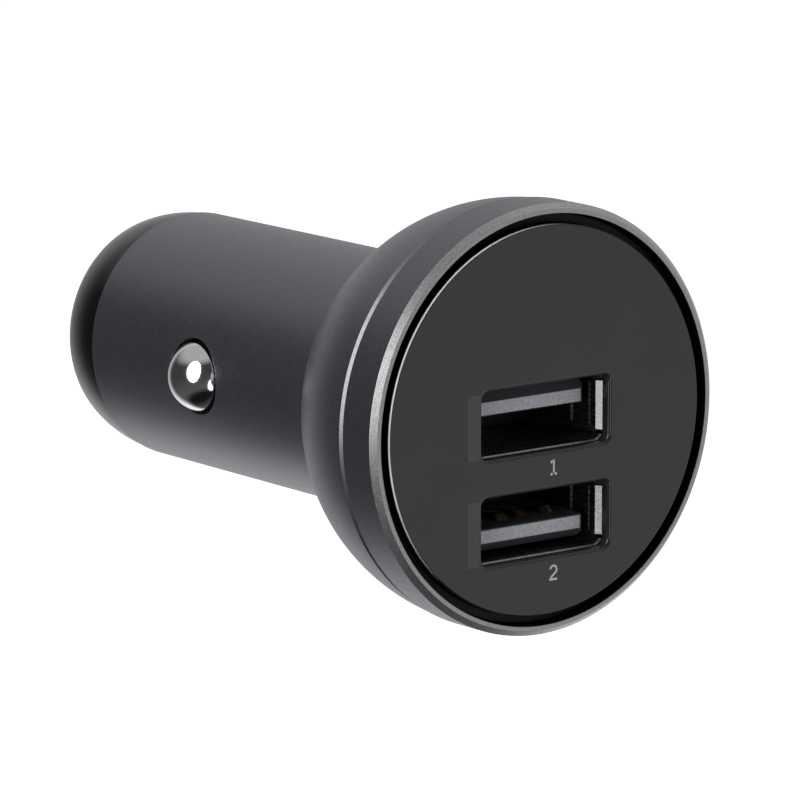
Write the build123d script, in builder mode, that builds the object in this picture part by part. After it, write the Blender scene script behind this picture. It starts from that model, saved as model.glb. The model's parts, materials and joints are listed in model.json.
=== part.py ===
"""Car USB charger plug: a turned shell with a bell-shaped head, two USB-A ports and sprung contacts."""
import os
from math import sqrt

from build123d import *

os.makedirs("parts", exist_ok=True)

# The plug's axis is Y: the face looks along -Y and the tip points along +Y, with Z up.
# The origin is on the axis, where the straight barrel leaves the shoulder of the head.

# Barrel and bell, in millimetres
barrel_diameter = 20.6
barrel_wall = 1.1
barrel_length = 29.6
land_length = 10.4
barrel_taper = 0.06
head_diameter = 34.1
bell_length = 12.92
bell_radius = 16.0
rim_step = 0.13
rim_chamfer_length = 0.28
rim_chamfer_width = 0.17
shoulder_fillet = 0.5

# Bezel ring
parting_gap = 0.35
bezel_length = 3.78
bezel_chamfer = 0.45
lip_width = 0.36
ledge_width = 1.4
spigot_length = 1.6
spigot_room = 0.2
bezel_fit = 0.12

# Face panel
panel_recess = 0.02
panel_groove = 0.8
panel_thickness = 1.8
panel_flange = 0.8
panel_fit = 0.1
panel_edge = 0.25
port_web = 0.8
opening_width = 12.6
opening_height = 5.3
opening_corner = 0.55
opening_lead_in = 0.34

# USB-A ports, back to back on the board
port_drop = 3.95
port_pitch = 8.4
shell_inner_width = 12.5
shell_inner_height = 5.12
shell_sheet = 0.32
shell_corner = 0.8
shell_length = 11.2
shell_gap = 0.05
mouth_bevel = 0.12
mouth_depth = 1.55
mouth_relief = 0.06
flare_length = 0.8
flare_out = 0.5
flare_width = 3.9
flare_slit = 0.25
pocket_room = 0.2
pad_start = 3.65
pad_width = 3.4
pad_height = 0.12
leg_width = 1.6
leg_inset = 3.0
tongue_width = 11.1
tongue_thickness = 1.84
tongue_offset = 1.2
tongue_front = 1.27
tongue_nose = 0.75
tongue_lip = 0.1
tongue_corner = 0.5
tongue_band = 1.8
block_length = 2.2
block_fit = 0.08
foot_width = 10.0
foot_margin = 0.3
blade_pitch_inner = 2.0
blade_pitch_outer = 2.5
blade_width = 1.0
blade_sheet = 0.25
blade_bow = 0.45
blade_ramp = 0.7
blade_bend = 0.4
groove_depth = 0.5
groove_room = 0.15
tail_inset = 1.1

# Board and its carrier
board_thickness = 1.6
board_head_width = 19.0
board_neck_gap = 0.46
board_front_inset = 2.3
board_head_length = 8.5
board_slot_depth = 0.6
board_fit = 0.1
carrier_plate = 1.5
carrier_rim_gap = 0.2
rail_length = 4.6
rail_overlap = 0.9
rail_wall = 1.0

# Nose and tip contact
nose_step = 0.1
nose_radius = 11.85
nose_length = 7.05
nose_end_fillet = 4.5
nose_end_wall = 1.6
nose_wall = 1.6
nose_spigot = 4.0
nose_fit = 0.1
tip_diameter = 6.8
tip_reach = 5.0
tip_round = 1.6
tip_clearance = 0.15
tip_flange_width = 1.4
tip_flange_thickness = 1.0
tip_stop_gap = 0.1
tip_boss_diameter = 3.4
tip_boss_length = 1.5
tip_spring_diameter = 6.2
tip_spring_wire = 0.6
tip_spring_turns = 6
terminal_diameter = 8.0
terminal_sheet = 0.4
terminal_strip_width = 3.0
terminal_strip_drop = 2.55
terminal_lead = 1.6

# Side contacts and the insulating carrier behind them
contact_y = 15.5
contact_drop = 0.28
contact_diameter = 5.6
contact_height = 1.8
contact_dome_set = 0.2
contact_clearance = 0.3
contact_flange_width = 0.7
contact_flange_thickness = 0.8
contact_stop_gap = 0.15
contact_boss_diameter = 3.4
contact_boss_length = 0.9
side_spring_diameter = 5.4
side_spring_wire = 0.4
side_spring_turns = 4
spring_seat_gap = 0.05
insulator_fit = 0.12
insulator_front = 10.0
seat_wall = 4.8
strap_sheet = 0.4
strap_width = 4.0
strap_reach = 2.4
strap_lead = 0.8
strap_fit = 0.1

# Parts on the board
part_gap = 0.24
inductor_height = 6.0
inductor_flange = 0.8
inductor_post_diameter = 3.6
winding_inset = 0.3
winding_gap = 0.05
capacitor_diameter = 5.0
capacitor_height = 7.0
capacitor_edge = 0.4
chip_length = 5.0
chip_width = 4.0
chip_height = 1.5
chip_inset = 1.4
chip_edge = 0.2

# Radii and stations along the axis that follow from the sizes above
barrel_r = barrel_diameter / 2
barrel_inner_r = barrel_r - barrel_wall
head_r = head_diameter / 2
crest_r = head_r - rim_step
head_inner_r = crest_r - barrel_wall
bell_centre_r = crest_r - bell_radius
fillet_rise = barrel_r + shoulder_fillet - bell_centre_r
crest_y = -sqrt((bell_radius + shoulder_fillet) ** 2 - fillet_rise**2)
bell_end_y = crest_y * shoulder_fillet / (bell_radius + shoulder_fillet)
inner_bell_radius = bell_radius - barrel_wall
inner_corner_y = crest_y + sqrt(inner_bell_radius**2 - (barrel_inner_r - bell_centre_r) ** 2)
bell_front = -bell_length
rim_y = bell_front + rim_chamfer_length

bezel_rear = bell_front - parting_gap
lip_y = bezel_rear - bezel_length
lip_inner_r = head_r - bezel_chamfer - lip_width
panel_front = lip_y + panel_recess
panel_back = panel_front + panel_thickness
panel_r = lip_inner_r - panel_groove
ledge_r = lip_inner_r - ledge_width
spigot_r = head_inner_r - bezel_fit
spigot_end = bezel_rear + spigot_length
rim_bore_end = spigot_end + spigot_room

shell_front = panel_front + port_web + shell_gap
port_back = shell_front + shell_length
shell_half_width = shell_inner_width / 2
shell_half_height = shell_inner_height / 2
shell_outer_width = shell_inner_width + 2 * shell_sheet
shell_outer_height = shell_inner_height + 2 * shell_sheet
flare_half_width = shell_half_width + mouth_relief
pocket_width = shell_outer_width + 2 * flare_out + 2 * pocket_room
pocket_height = shell_outer_height + 2 * pocket_room
board_face = port_pitch / 2 - board_thickness / 2
tongue_low = tongue_offset - tongue_thickness / 2
tongue_top = tongue_low + tongue_thickness
block_start = shell_length - block_length
tongue_length = block_start + 2 * tongue_corner - tongue_front
groove_start = tongue_front + tongue_band
blade_tip = groove_start + groove_room
blade_height = tongue_low + groove_depth / 2
tail_depth = shell_length - tail_inset
blade_places = (
    -blade_pitch_inner / 2 - blade_pitch_outer,
    -blade_pitch_inner / 2,
    blade_pitch_inner / 2,
    blade_pitch_inner / 2 + blade_pitch_outer,
)

board_top = -port_drop + board_thickness / 2
board_bottom = -port_drop - board_thickness / 2
board_front = shell_front + board_front_inset
board_neck_start = board_front + board_head_length
board_neck_width = 2 * (sqrt(barrel_inner_r**2 - board_bottom**2) - board_neck_gap)
board_end = insulator_front + board_slot_depth

barrel_end_r = barrel_r - barrel_taper
nose_r = barrel_end_r - nose_step
nose_end = barrel_length + nose_length
nose_end_r = nose_r - nose_radius + sqrt(nose_radius**2 - nose_length**2)
nose_spigot_r = barrel_inner_r - nose_fit
nose_bore_r = nose_spigot_r - nose_wall
insulator_end = barrel_length - nose_spigot
insulator_r = barrel_inner_r - insulator_fit
tip_r = tip_diameter / 2
tip_flange_front = nose_end - nose_end_wall - tip_stop_gap
tip_flange_back = tip_flange_front - tip_flange_thickness
terminal_top = insulator_end + terminal_sheet

contact_r = contact_diameter / 2
contact_flange_r = contact_r + contact_flange_width
contact_flange_face = sqrt(barrel_inner_r**2 - (contact_flange_r + contact_drop) ** 2) - contact_stop_gap
contact_flange_back = contact_flange_face - contact_flange_thickness
contact_plane = Plane.XY.offset(-contact_drop)
contact_axis = Axis((0, contact_y, -contact_drop), (1, 0, 0))
pocket_r = contact_flange_r + contact_clearance
seat_x = seat_wall / 2
strap_face_x = seat_x + strap_sheet
strip_start = insulator_front - terminal_lead

# The drum of the inductor fills the board's length that the capacitor leaves between the ports and the terminal
inductor_diameter = strip_start - port_back - capacitor_diameter - 3 * part_gap
inductor_y = port_back + part_gap + inductor_diameter / 2
capacitor_y = strip_start - part_gap - capacitor_diameter / 2
chip_front_y = port_back + chip_inset + chip_length / 2
chip_rear_y = insulator_front - chip_inset - chip_length / 2

SIDES = {"left": -1, "right": 1}
PORTS = {"upper": 1, "lower": -1}


def port_section(side, depth):
    """Plane across a port, at a depth behind its shell's front: Y of the plane points away from the board."""
    height = -port_drop + side * port_pitch / 2
    return Plane(origin=(0, shell_front + depth, height), x_dir=(-side, 0, 0), z_dir=(0, 1, 0))


def port_profile(side):
    """Plane along a port's middle: X of the plane is the depth, and Y points away from the board."""
    height = -port_drop + side * port_pitch / 2
    return Plane(origin=(0, shell_front, height), x_dir=(0, 1, 0), z_dir=(side, 0, 0))


def port_plan(side):
    """Plane level with a port's middle: X of the plane is the depth, and Y runs across the port."""
    return Plane(port_profile(side).origin, x_dir=(0, 1, 0), z_dir=(0, 0, -side))


def bell_arc(radius, start, end):
    """Arc about the bell's centre between two stations along the axis."""
    stations = (start, (start + end) / 2, end)
    return ThreePointArc(*[(bell_centre_r + sqrt(radius**2 - (y - crest_y) ** 2), y) for y in stations])


def keep(builder, label):
    """Label a finished piece and write its file."""
    builder.part.label = label
    export_step(builder.part, f"parts/{label}.step")


# Barrel housing: one turned shell, the bell of the head and the barrel, with a window for each contact
with BuildPart() as barrel_housing:
    with BuildSketch():
        with BuildLine():
            outer_arc = bell_arc(bell_radius, rim_y, bell_end_y)
            inner_arc = bell_arc(inner_bell_radius, rim_bore_end, inner_corner_y)
            Polyline(
                inner_arc @ 0,
                (head_inner_r, rim_bore_end),
                (head_inner_r, bell_front),
                ((outer_arc @ 0).X - rim_chamfer_width, bell_front),
                outer_arc @ 0,
            )
            TangentArc((barrel_r, 0), outer_arc @ 1, tangent=(0, -1))
            Polyline(
                (barrel_r, 0),
                (barrel_r, land_length),
                (barrel_end_r, barrel_length),
                (barrel_inner_r, barrel_length),
                inner_arc @ 1,
            )
        make_face()
    revolve(axis=Axis.Y)
    with BuildSketch(Plane.YZ):
        with Locations((contact_y, -contact_drop)):
            Circle(contact_r + contact_clearance)
    extrude(amount=barrel_r, both=True, mode=Mode.SUBTRACT)
keep(barrel_housing, "barrel_housing")

# Bezel ring: band, front chamfer and lip, with a ledge for the panel and a spigot into the bell
with BuildPart() as bezel_ring:
    with BuildSketch():
        with BuildLine():
            Polyline(
                (lip_inner_r, lip_y),
                (head_r - bezel_chamfer, lip_y),
                (head_r, lip_y + bezel_chamfer),
                (head_r, bezel_rear),
                (spigot_r, bezel_rear),
                (spigot_r, spigot_end),
                (ledge_r, spigot_end),
                (ledge_r, panel_back),
                (lip_inner_r, panel_back),
                close=True,
            )
        make_face()
    revolve(axis=Axis.Y)
keep(bezel_ring, "bezel_ring")

# Face panel: round-edged disc on a thin flange, with two openings and a pocket behind each for the port's mouth
with BuildPart() as face_panel:
    with BuildSketch(Plane.XZ.offset(-panel_back)):
        Circle(lip_inner_r - panel_fit)
    extrude(amount=panel_flange)
    with BuildSketch(Plane.XZ.offset(-panel_back)):
        Circle(panel_r)
    extrude(amount=panel_thickness)
    with BuildSketch(Plane.XZ.offset(-panel_back)):
        with Locations(*[(0, -port_drop + side * port_pitch / 2) for side in PORTS.values()]):
            RectangleRounded(opening_width, opening_height, opening_corner)
    extrude(amount=panel_thickness, mode=Mode.SUBTRACT)
    panel_face = face_panel.faces().sort_by(Axis.Y)[0]
    fillet(panel_face.inner_wires().edges(), opening_lead_in)
    panel_rim = face_panel.edges().filter_by(GeomType.CIRCLE).group_by(Axis.Y)[0].sort_by(SortBy.RADIUS)[-1]
    fillet(panel_rim, panel_edge)
    with BuildSketch(Plane.XZ.offset(-panel_back)):
        with Locations(*[(0, -port_drop + side * port_pitch / 2) for side in PORTS.values()]):
            RectangleRounded(pocket_width, pocket_height, opening_corner)
    extrude(amount=panel_thickness - port_web, mode=Mode.SUBTRACT)
keep(face_panel, "face_panel")

for port, side in PORTS.items():
    # Port shell: folded tube with a bevelled mouth, thinned side walls there, a flared tab in each and side pads
    with BuildPart() as port_shell:
        with BuildSketch(port_section(side, 0)):
            RectangleRounded(shell_outer_width, shell_outer_height, shell_corner + shell_sheet)
            RectangleRounded(shell_inner_width, shell_inner_height, shell_corner, mode=Mode.SUBTRACT)
        extrude(amount=shell_length)
        shell_end = port_shell.faces().sort_by(Axis.Y)[0]
        chamfer(shell_end.inner_wires().edges(), mouth_bevel)
        with BuildSketch(port_section(side, 0)):
            Rectangle(shell_inner_width + 2 * mouth_relief, shell_inner_height - 2 * shell_corner)
        extrude(amount=mouth_depth, mode=Mode.SUBTRACT)
        with BuildSketch(port_section(side, 0)):
            Rectangle(pocket_width, flare_width + 2 * flare_slit)
        extrude(amount=flare_length, mode=Mode.SUBTRACT)
        with BuildSketch(port_plan(side)):
            with BuildLine():
                Polyline(
                    (flare_length, flare_half_width),
                    (0, flare_half_width + flare_out),
                    (0, shell_outer_width / 2 + flare_out),
                    (flare_length, shell_outer_width / 2),
                    close=True,
                )
            make_face()
            mirror(about=Plane.XZ)
        extrude(amount=flare_width / 2, both=True)
        with BuildSketch(port_section(side, pad_start)):
            with Locations((shell_half_width, 0)):
                Rectangle(pad_height, pad_width, align=(Align.MAX, Align.CENTER))
            with Locations((-shell_half_width, 0)):
                Rectangle(pad_height, pad_width, align=(Align.MIN, Align.CENTER))
        extrude(amount=block_start - block_fit - pad_start)
        # Side legs on the board, and an open rear underside
        with BuildSketch(port_section(side, leg_inset)):
            with Locations((shell_half_width + shell_sheet / 2, 0), (-shell_half_width - shell_sheet / 2, 0)):
                Rectangle(shell_sheet, board_face, align=(Align.CENTER, Align.MAX))
        extrude(amount=leg_width)
        with BuildSketch(port_section(side, block_start)):
            with Locations((0, -shell_half_height)):
                Rectangle(foot_width + 2 * foot_margin, 2 * (shell_sheet + block_fit))
        extrude(amount=block_length, mode=Mode.SUBTRACT)
    keep(port_shell, f"{port}_port_shell")

    # Port tongue: insulator block with its foot on the board, and the tongue with a groove for each blade
    with BuildPart() as port_tongue:
        with BuildSketch(port_profile(side)):
            with BuildLine():
                Polyline(
                    (block_start + tongue_corner, tongue_low),
                    (tongue_front + tongue_lip, tongue_low),
                    (tongue_front, tongue_low + tongue_lip),
                    (tongue_front, tongue_top - tongue_nose),
                    (tongue_front + tongue_nose, tongue_top),
                    (block_start + tongue_corner, tongue_top),
                    close=True,
                )
            make_face()
        extrude(amount=tongue_width / 2, both=True)
        with BuildSketch(port_plan(side)):
            with Locations((tongue_front, 0)):
                RectangleRounded(tongue_length, tongue_width, tongue_corner, align=(Align.MIN, Align.CENTER))
        extrude(amount=shell_inner_height, both=True, mode=Mode.INTERSECT)
        with BuildSketch(port_section(side, block_start)):
            RectangleRounded(
                shell_inner_width - 2 * block_fit, shell_inner_height - 2 * block_fit, shell_corner
            )
        extrude(amount=block_length)
        with BuildSketch(port_section(side, block_start + foot_margin)):
            Rectangle(foot_width, board_face, align=(Align.CENTER, Align.MAX))
        extrude(amount=block_length - foot_margin)
        for place in blade_places:
            with BuildSketch(port_profile(side).offset(place)):
                with BuildLine():
                    Polyline(
                        (groove_start, tongue_low),
                        (groove_start, tongue_low + groove_depth),
                        (tail_depth + groove_depth, tongue_low + groove_depth),
                        (tail_depth + groove_depth, -board_face),
                        (tail_depth - groove_depth, -board_face),
                        (tail_depth - groove_depth, tongue_low),
                        close=True,
                    )
                make_face()
            extrude(amount=blade_width / 2 + groove_room, both=True, mode=Mode.SUBTRACT)
    keep(port_tongue, f"{port}_port_tongue")

    # Port contacts: four sprung blades in the grooves, each with a front ramp and a tail down to the board
    with BuildPart() as port_contacts:
        for place in blade_places:
            with BuildSketch(port_profile(side).offset(place)):
                with BuildLine():
                    FilletPolyline(
                        (blade_tip, blade_height),
                        (blade_tip + blade_ramp, tongue_low - blade_bow),
                        (block_start, blade_height),
                        (tail_depth, blade_height),
                        (tail_depth, -board_face),
                        radius=blade_bend,
                    )
                trace(line_width=blade_sheet)
            extrude(amount=blade_width / 2, both=True)
    keep(port_contacts, f"{port}_port_contacts")

# Board carrier: plate behind the bezel's spigot, with a window for the ports and a rail for each board edge
with BuildPart() as board_carrier:
    carrier_plane = Plane.XZ.offset(-spigot_end - carrier_plate)
    with BuildSketch(carrier_plane):
        Circle(spigot_r - carrier_rim_gap)
    extrude(amount=carrier_plate)
    rail_reach = board_head_width / 2 - rail_overlap
    with BuildSketch(carrier_plane):
        with Locations((rail_reach, -port_drop), (-rail_reach, -port_drop)):
            Rectangle(2 * (rail_overlap + rail_wall), board_thickness + 2 * rail_wall)
    extrude(amount=-rail_length)
    with BuildSketch(carrier_plane.offset(carrier_plate)):
        with Locations((0, -port_drop)):
            Rectangle(shell_outer_width + 2 * board_fit, port_pitch + shell_outer_height + 2 * board_fit)
            Rectangle(board_head_width + 2 * board_fit, board_thickness + 2 * board_fit)
    extrude(amount=-carrier_plate - rail_length, mode=Mode.SUBTRACT)
keep(board_carrier, "board_carrier")

# Main board: wide between the ports, and narrow where it runs into the barrel
with BuildPart() as main_board:
    with BuildSketch(Plane.XY.offset(board_bottom)):
        with Locations((0, board_front)):
            Rectangle(board_head_width, board_head_length, align=(Align.CENTER, Align.MIN))
        with Locations((0, board_neck_start)):
            Rectangle(board_neck_width, board_end - board_neck_start, align=(Align.CENTER, Align.MIN))
    extrude(amount=board_thickness)
keep(main_board, "main_board")

# Nose cap: rounded end with a spigot into the barrel and a bore for the tip
with BuildPart() as nose_cap:
    with BuildSketch():
        with BuildLine():
            nose_arc = TangentArc((nose_r, barrel_length), (nose_end_r, nose_end), tangent=(0, 1))
            Polyline(
                nose_arc @ 1,
                (tip_r + tip_clearance, nose_end),
                (tip_r + tip_clearance, nose_end - nose_end_wall),
                (nose_bore_r, nose_end - nose_end_wall),
                (nose_bore_r, insulator_end),
                (nose_spigot_r, insulator_end),
                (nose_spigot_r, barrel_length),
                nose_arc @ 0,
            )
        nose_face = make_face()
        fillet(nose_face.vertices().sort_by_distance((nose_end_r, nose_end))[0], nose_end_fillet)
    revolve(axis=Axis.Y)
keep(nose_cap, "nose_cap")

# Tip contact: round-ended pin with a flange behind the nose's end wall and a boss for its spring
with BuildPart() as tip_contact:
    with BuildSketch():
        with BuildLine():
            Polyline(
                (0, tip_flange_back - tip_boss_length),
                (tip_boss_diameter / 2, tip_flange_back - tip_boss_length),
                (tip_boss_diameter / 2, tip_flange_back),
                (tip_r + tip_flange_width, tip_flange_back),
                (tip_r + tip_flange_width, tip_flange_front),
                (tip_r, tip_flange_front),
                (tip_r, nose_end + tip_reach),
                (0, nose_end + tip_reach),
                close=True,
            )
        tip_face = make_face()
        fillet(tip_face.vertices().sort_by_distance((tip_r, nose_end + tip_reach))[0], tip_round)
    revolve(axis=Axis.Y)
keep(tip_contact, "tip_contact")

# Tip spring: coil between the terminal and the tip's flange
with BuildPart() as tip_spring:
    tip_coil_r = (tip_spring_diameter - tip_spring_wire) / 2
    tip_coil_start = terminal_top + tip_spring_wire / 2 + spring_seat_gap
    tip_coil_height = tip_flange_back - tip_spring_wire / 2 - spring_seat_gap - tip_coil_start
    with BuildLine():
        tip_coil = Helix(
            tip_coil_height / tip_spring_turns,
            tip_coil_height,
            tip_coil_r,
            center=(0, tip_coil_start, 0),
            direction=(0, 1, 0),
        )
    with BuildSketch(Plane(tip_coil @ 0, z_dir=tip_coil % 0)):
        Circle(tip_spring_wire / 2)
    sweep(path=tip_coil, is_frenet=True)
keep(tip_spring, "tip_spring")

# Tip terminal: disc under the spring, and a strip through the insulator to the board
with BuildPart() as tip_terminal:
    with BuildSketch(Plane.XZ.offset(-insulator_end)):
        Circle(terminal_diameter / 2)
    extrude(amount=-terminal_sheet)
    with BuildSketch(Plane.XZ.offset(-strip_start)):
        with Locations((0, -terminal_strip_drop)):
            Rectangle(terminal_strip_width, terminal_sheet, align=(Align.CENTER, Align.MAX))
    extrude(amount=strip_start - terminal_top)
    with BuildSketch(Plane.XZ.offset(-strip_start)):
        with Locations((0, board_top)):
            Rectangle(
                terminal_strip_width, -terminal_strip_drop - board_top, align=(Align.CENTER, Align.MIN)
            )
    extrude(amount=-strap_lead)
keep(tip_terminal, "tip_terminal")

# Contact carrier: insulating plug in the barrel, with a pocket for each side contact and a slot for the board
with BuildPart() as contact_carrier:
    with BuildSketch(Plane.XZ.offset(-insulator_front)):
        Circle(insulator_r)
    extrude(amount=insulator_front - insulator_end)
    for side in SIDES.values():
        with BuildSketch(Plane.YZ.offset(side * seat_x)):
            with Locations((contact_y, -contact_drop)):
                Circle(pocket_r)
        extrude(amount=side * barrel_r, mode=Mode.SUBTRACT)
        with BuildSketch(Plane.YZ.offset(side * seat_x)):
            with Locations((insulator_front, -contact_drop)):
                Rectangle(
                    contact_y - insulator_front,
                    strap_width + 2 * strap_fit,
                    align=(Align.MIN, Align.CENTER),
                )
        extrude(amount=side * (strap_sheet + strap_fit), mode=Mode.SUBTRACT)
    with BuildSketch(Plane.XZ.offset(-insulator_front)):
        with Locations((0, -port_drop)):
            Rectangle(board_neck_width + 2 * board_fit, board_thickness + 2 * board_fit)
    extrude(amount=-board_slot_depth - board_fit, mode=Mode.SUBTRACT)
    with BuildSketch(Plane.XZ.offset(-insulator_front)):
        with Locations((0, -terminal_strip_drop - terminal_sheet / 2)):
            Rectangle(terminal_strip_width + 2 * strap_fit, terminal_sheet + 2 * strap_fit)
    extrude(amount=insulator_front - insulator_end, mode=Mode.SUBTRACT)
keep(contact_carrier, "contact_carrier")

# Ground strap: bent strip with a leg behind each side spring and two feet on the board
with BuildPart() as ground_strap:
    strap_start = insulator_front - strap_lead
    with BuildSketch(contact_plane):
        with Locations((0, strap_start)):
            Rectangle(2 * strap_face_x, contact_y + strap_reach - strap_start, align=(Align.CENTER, Align.MIN))
        with Locations((0, strap_start + strap_sheet)):
            Rectangle(2 * seat_x, contact_y + strap_reach, align=(Align.CENTER, Align.MIN), mode=Mode.SUBTRACT)
    extrude(amount=strap_width / 2, both=True)
    with BuildSketch(Plane.XY.offset(board_top)):
        with Locations((seat_x + strap_sheet / 2, strap_start), (-seat_x - strap_sheet / 2, strap_start)):
            Rectangle(strap_sheet, strap_lead, align=(Align.CENTER, Align.MIN))
    extrude(amount=-contact_drop - board_top)
keep(ground_strap, "ground_strap")

for name, side in SIDES.items():
    # Side contact: domed button through the barrel's window, held by its flange
    with BuildPart() as side_contact:
        dome_base = barrel_r - contact_dome_set
        with BuildSketch(contact_plane):
            with BuildLine():
                Polyline(
                    (side * dome_base, contact_y + contact_r),
                    (side * contact_flange_face, contact_y + contact_r),
                    (side * contact_flange_face, contact_y + contact_flange_r),
                    (side * contact_flange_back, contact_y + contact_flange_r),
                    (side * contact_flange_back, contact_y + contact_boss_diameter / 2),
                    (side * (contact_flange_back - contact_boss_length), contact_y + contact_boss_diameter / 2),
                    (side * (contact_flange_back - contact_boss_length), contact_y),
                    (side * (barrel_r + contact_height), contact_y),
                )
                TangentArc(
                    (side * (barrel_r + contact_height), contact_y),
                    (side * dome_base, contact_y + contact_r),
                    tangent=(0, 1),
                )
            make_face()
        revolve(axis=contact_axis)
    keep(side_contact, f"side_contact_{name}")

    # Side spring: coil between the ground strap and the contact's flange
    with BuildPart() as side_spring:
        side_coil_r = (side_spring_diameter - side_spring_wire) / 2
        side_coil_start = strap_face_x + side_spring_wire / 2 + spring_seat_gap
        side_coil_height = contact_flange_back - side_spring_wire / 2 - spring_seat_gap - side_coil_start
        with BuildLine():
            side_coil = Helix(
                side_coil_height / side_spring_turns,
                side_coil_height,
                side_coil_r,
                center=(side * side_coil_start, contact_y, -contact_drop),
                direction=(side, 0, 0),
            )
        with BuildSketch(Plane(side_coil @ 0, z_dir=side_coil % 0)):
            Circle(side_spring_wire / 2)
        sweep(path=side_coil, is_frenet=True)
    keep(side_spring, f"side_spring_{name}")

# Inductor: drum core standing on the board, and the winding between its flanges
inductor_plane = Plane((0, inductor_y, board_top))
with BuildPart() as inductor_core:
    with BuildSketch(inductor_plane):
        Circle(inductor_diameter / 2)
    extrude(amount=inductor_flange)
    with BuildSketch(inductor_plane):
        Circle(inductor_post_diameter / 2)
    extrude(amount=inductor_height)
    with BuildSketch(inductor_plane.offset(inductor_height - inductor_flange)):
        Circle(inductor_diameter / 2)
    extrude(amount=inductor_flange)
keep(inductor_core, "inductor_core")

with BuildPart() as inductor_winding:
    with BuildSketch(inductor_plane.offset(inductor_flange + winding_gap)):
        Circle(inductor_diameter / 2 - winding_inset)
        Circle(inductor_post_diameter / 2 + winding_gap, mode=Mode.SUBTRACT)
    extrude(amount=inductor_height - 2 * inductor_flange - 2 * winding_gap)
keep(inductor_winding, "inductor_winding")

# Input capacitor: can with rolled edges, standing on the board
with BuildPart() as input_capacitor:
    with BuildSketch(Plane((0, capacitor_y, board_top))):
        Circle(capacitor_diameter / 2)
    extrude(amount=capacitor_height)
    fillet(input_capacitor.edges().filter_by(GeomType.CIRCLE), capacitor_edge)
keep(input_capacitor, "input_capacitor")

# Converter chips: two moulded packages under the board
with BuildPart() as converter_chips:
    with BuildSketch(Plane.XY.offset(board_bottom)):
        with Locations((0, chip_front_y), (0, chip_rear_y)):
            Rectangle(chip_width, chip_length)
    extrude(amount=-chip_height)
    chamfer(converter_chips.edges().group_by(Axis.Z)[0], chip_edge)
keep(converter_chips, "converter_chips")
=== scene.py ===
"""Looks of the car USB charger plug: turned metal, a glossy smoked face, sprung contacts and a white studio."""
import json
from math import cos, radians, sin, tan, tau

import bpy
import numpy as np
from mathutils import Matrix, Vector
from mathutils.geometry import delaunay_2d_cdt


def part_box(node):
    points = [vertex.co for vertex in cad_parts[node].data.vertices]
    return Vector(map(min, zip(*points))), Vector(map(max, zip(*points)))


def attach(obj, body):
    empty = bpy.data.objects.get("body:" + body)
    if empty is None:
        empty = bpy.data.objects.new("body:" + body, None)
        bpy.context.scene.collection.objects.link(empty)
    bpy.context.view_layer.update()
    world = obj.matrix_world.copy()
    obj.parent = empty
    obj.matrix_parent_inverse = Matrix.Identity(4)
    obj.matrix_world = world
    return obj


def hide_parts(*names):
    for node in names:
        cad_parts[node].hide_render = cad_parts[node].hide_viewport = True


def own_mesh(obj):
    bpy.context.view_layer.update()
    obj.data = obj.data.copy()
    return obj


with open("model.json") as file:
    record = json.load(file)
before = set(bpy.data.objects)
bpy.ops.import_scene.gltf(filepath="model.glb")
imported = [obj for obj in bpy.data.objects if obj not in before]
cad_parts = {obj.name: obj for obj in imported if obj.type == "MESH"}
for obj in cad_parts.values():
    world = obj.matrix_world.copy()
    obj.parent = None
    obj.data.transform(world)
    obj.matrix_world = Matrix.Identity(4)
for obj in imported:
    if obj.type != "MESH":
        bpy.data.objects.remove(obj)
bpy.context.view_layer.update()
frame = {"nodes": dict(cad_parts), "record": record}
solids = frame["nodes"]
mounts = {mount["name"]: np.array(mount["pos_m"]) for mount in frame["record"]["mounts"]}

# Shapes are worked out in millimetres and put into the meshes in metres
MM = 0.001


def solid_box(node):
    """Lowest and highest corner of a solid, in millimetres."""
    low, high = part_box(node)
    return np.array(low) / MM, np.array(high) / MM


housing_low, housing_high = solid_box("barrel_housing")
bezel_low, bezel_high = solid_box("bezel_ring")
panel_low, panel_high = solid_box("face_panel")
nose_low, nose_high = solid_box("nose_cap")
tip_low, tip_high = solid_box("tip_contact")
contact_low, contact_high = solid_box("side_contact_right")
port_middles = [mounts[name][2] / MM for name in ("upper_port", "lower_port")]
tongue_front = solid_box("upper_port_tongue")[0][1]

# Housing
barrel_r = 10.3
barrel_wall = 1.1
land_length = 10.4
barrel_taper = 0.06
bell_radius = 16.0
rim_step = 0.13
rim_chamfer_length = 0.28
rim_chamfer_width = 0.17
rim_bore_room = 0.2
shoulder_fillet = 0.5
edge_break = 0.06
head_r = bezel_high[0]
crest_r = head_r - rim_step
head_inner_r = crest_r - barrel_wall
bell_front = housing_low[1]
rim_bore_end = bezel_high[1] + rim_bore_room
barrel_end = housing_high[1]
barrel_end_r = barrel_r - barrel_taper
barrel_inner_r = barrel_r - barrel_wall
bell_centre_r = crest_r - bell_radius
bell_turn = np.arccos((barrel_r + shoulder_fillet - bell_centre_r) / (bell_radius + shoulder_fillet))
crest_y = -(bell_radius + shoulder_fillet) * sin(bell_turn)
inner_bell_radius = bell_radius - barrel_wall
inner_bell_turn = np.arccos((barrel_inner_r - bell_centre_r) / inner_bell_radius)

# Contact windows in the barrel
contact_y, contact_z = (contact_low[1:] + contact_high[1:]) / 2
contact_r = 2.8
window_r = 3.1
window_reach = 4.2
window_columns = 14
window_edge = 0.12

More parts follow.
